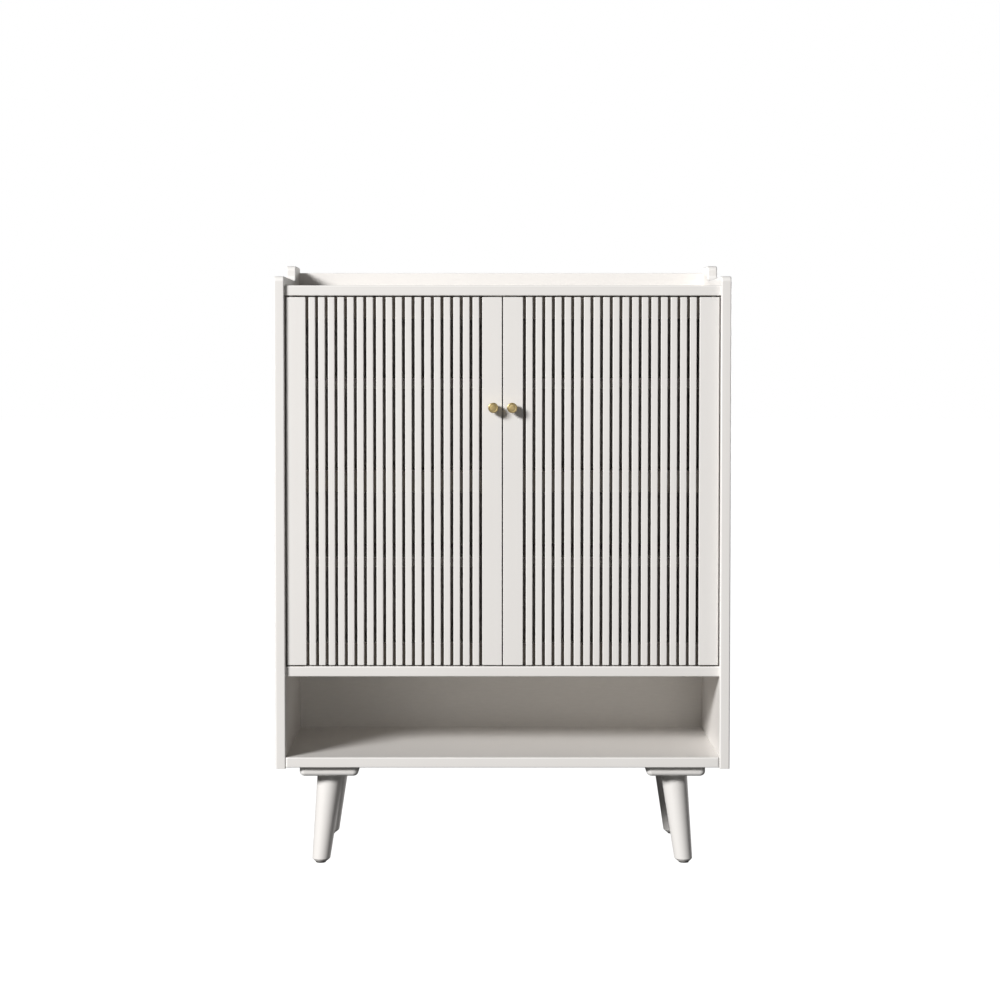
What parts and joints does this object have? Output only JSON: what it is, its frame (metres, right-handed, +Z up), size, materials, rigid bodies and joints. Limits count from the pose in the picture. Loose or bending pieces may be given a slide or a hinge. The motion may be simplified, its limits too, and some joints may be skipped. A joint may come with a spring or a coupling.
{
  "type": "shoe cabinet",
  "caption": "White lacquered shoe cabinet: two slatted doors with brass knobs over an open bay, a low gallery round the top, and splayed tapered legs.",
  "frame": {"origin": "on the floor, below the middle of the object's outline with its doors shut", "axes": "+Z up; -Y is the front, where the doors are; +X to the right as seen from the front"},
  "size_m": [0.8, 0.354, 1.07],
  "materials": {
    "lacquered_wood": "satin warm white lacquer",
    "shelf_board": "satin white lacquer",
    "back_board": "matt white coated fibreboard",
    "beech": "raw fluted beech",
    "brass": "satin brushed brass",
    "steel": "zinc plated",
    "zinc": "die cast, tumbled",
    "magnet": "matt sintered",
    "catch_plastic": "moulded",
    "glide_nylon": "moulded, matt"
  },
  "bodies": {
    "carcass": {"side_panel_left": "lacquered_wood", "side_panel_right": "lacquered_wood", "top_board": "lacquered_wood", "middle_board": "lacquered_wood", "bottom_board": "lacquered_wood", "gallery_rail": "lacquered_wood", "leg_plate_front_left": "lacquered_wood", "leg_plate_front_right": "lacquered_wood", "leg_plate_rear_left": "lacquered_wood", "leg_plate_rear_right": "lacquered_wood", "leg_front_left": "lacquered_wood", "leg_front_right": "lacquered_wood", "leg_rear_left": "lacquered_wood", "leg_rear_right": "lacquered_wood", "shelf_lower": "shelf_board", "shelf_middle": "shelf_board", "shelf_upper": "shelf_board", "back_panel": "back_board", "magnetic_catch": "catch_plastic", "catch_magnets": "magnet", "dowels": "beech", "foot_glides": "glide_nylon", "cam_discs": "zinc", "back_panel_screws": "steel", "shelf_pins": "steel", "cam_bolts": "steel", "leg_bolts": "steel", "leg_plate_screws": "steel", "catch_screws": "steel", "frame_leaf_top_left": "brass", "frame_leaf_bottom_left": "brass", "frame_leaf_top_right": "brass", "frame_leaf_bottom_right": "brass", "frame_leaf_screws": "brass"},
    "door_left": {"door_left_hinge_stile": "lacquered_wood", "door_left_meeting_stile": "lacquered_wood", "door_left_slats": "lacquered_wood", "door_left_rails": "lacquered_wood", "door_left_hinge_leaves": "brass", "door_left_leaf_screws": "brass", "door_left_washers": "glide_nylon", "door_left_strike_plate": "steel", "door_left_strike_screw": "steel", "knob_left": "brass", "knob_screw_left": "steel"},
    "door_right": {"door_right_hinge_stile": "lacquered_wood", "door_right_meeting_stile": "lacquered_wood", "door_right_slats": "lacquered_wood", "door_right_rails": "lacquered_wood", "door_right_hinge_leaves": "brass", "door_right_leaf_screws": "brass", "door_right_washers": "glide_nylon", "door_right_strike_plate": "steel", "door_right_strike_screw": "steel", "knob_right": "brass", "knob_screw_right": "steel"}
  },
  "joints": [
    {"name": "door_left_swing", "type": "hinge", "parent": "carcass", "child": "door_left", "pos_m": [-0.37, -0.1495, 0.682], "axis": [0, 0, -1], "range_deg": [0, 105]},
    {"name": "door_right_swing", "type": "hinge", "parent": "carcass", "child": "door_right", "pos_m": [0.37, -0.1495, 0.682], "axis": [0, 0, 1], "range_deg": [0, 105]}
  ]
}
